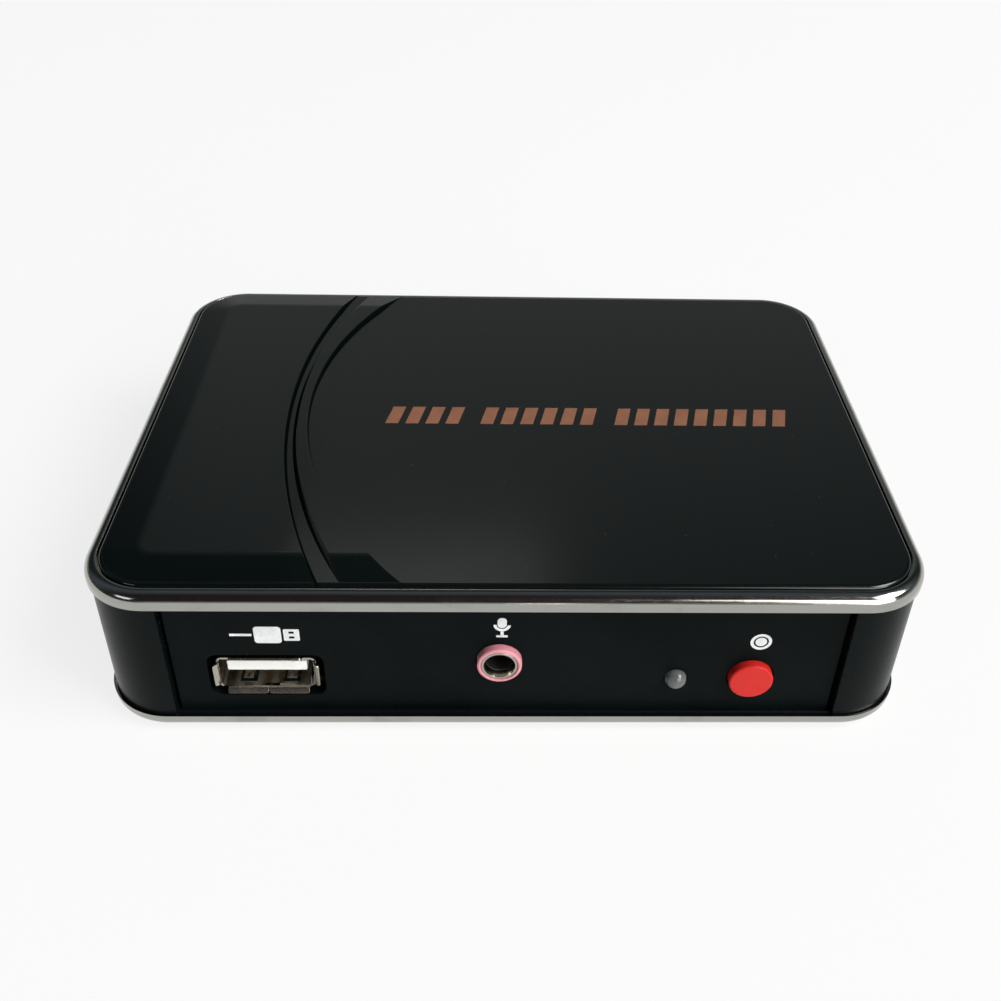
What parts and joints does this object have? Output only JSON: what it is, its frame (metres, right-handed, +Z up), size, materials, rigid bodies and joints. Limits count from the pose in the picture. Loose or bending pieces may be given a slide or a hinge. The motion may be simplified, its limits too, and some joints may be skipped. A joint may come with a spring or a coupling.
{
  "type": "video capture box",
  "caption": "Low rounded-corner video capture box with bright trim rings, a front panel with USB socket, microphone jack, indicator and sprung record button, and rear video and power sockets.",
  "frame": {"origin": "on the table under the middle of the box", "axes": "+X to the right seen from the front, +Y to the rear, +Z up; the front panel faces -Y"},
  "size_m": [0.113, 0.0826, 0.0265],
  "materials": {
    "cover": "gloss black moulded plastic",
    "trim": "bright plated trim",
    "case": "black moulded plastic, half gloss",
    "panel": "black moulded plastic, fine grain",
    "rubber": "soft black rubber",
    "steel": "plated steel",
    "board": "green solder mask",
    "chip": "black moulding compound",
    "thermal": "soft grey pad",
    "heat_sink": "bare aluminium",
    "ferrite": "dark grey ferrite",
    "socket_metal": "nickel plated sheet",
    "white_plastic": "white moulded plastic",
    "contact": "gold plated contact",
    "pink_plastic": "pink moulded plastic",
    "red_plastic": "red moulded plastic",
    "lens": "grey clear epoxy"
  },
  "bodies": {
    "box": {"top_cover": "cover", "top_trim_ring": "trim", "bottom_case": "case", "bottom_trim_ring": "trim", "front_panel": "panel", "rear_panel": "panel", "rubber_feet": "rubber", "case_screws": "steel", "board_screws": "steel", "main_board": "board", "video_processor": "chip", "thermal_pad": "thermal", "heat_sink": "heat_sink", "memory_chips": "chip", "flash_chip": "chip", "interface_chip": "chip", "audio_codec": "chip", "clock_crystal": "steel", "power_inductors": "ferrite", "filter_capacitors": "heat_sink", "voltage_regulator": "chip", "usb_shell": "socket_metal", "usb_tongue": "white_plastic", "usb_contacts": "contact", "mic_jack_housing": "pink_plastic", "mic_jack_sleeve": "socket_metal", "mic_jack_springs": "contact", "status_led_lens": "lens", "status_led_leads": "steel", "switch_body": "chip", "switch_frame": "steel", "switch_dome": "contact", "hdmi_in_shell": "socket_metal", "hdmi_in_tongue": "chip", "hdmi_in_contacts": "contact", "hdmi_out_shell": "socket_metal", "hdmi_out_tongue": "chip", "hdmi_out_contacts": "contact", "component_block": "chip", "component_shell": "socket_metal", "component_insert": "chip", "dc_jack_housing": "chip", "dc_jack_pin": "socket_metal", "dc_jack_spring": "contact"},
    "button": {"record_button": "red_plastic", "switch_plunger": "white_plastic"}
  },
  "joints": [
    {"name": "record_press", "type": "slide", "parent": "box", "child": "button", "axis": [0, 1, 0], "range_m": [0, 0.0004], "stiffness_N_per_m": 2500, "springref_m": -0.0003}
  ]
}
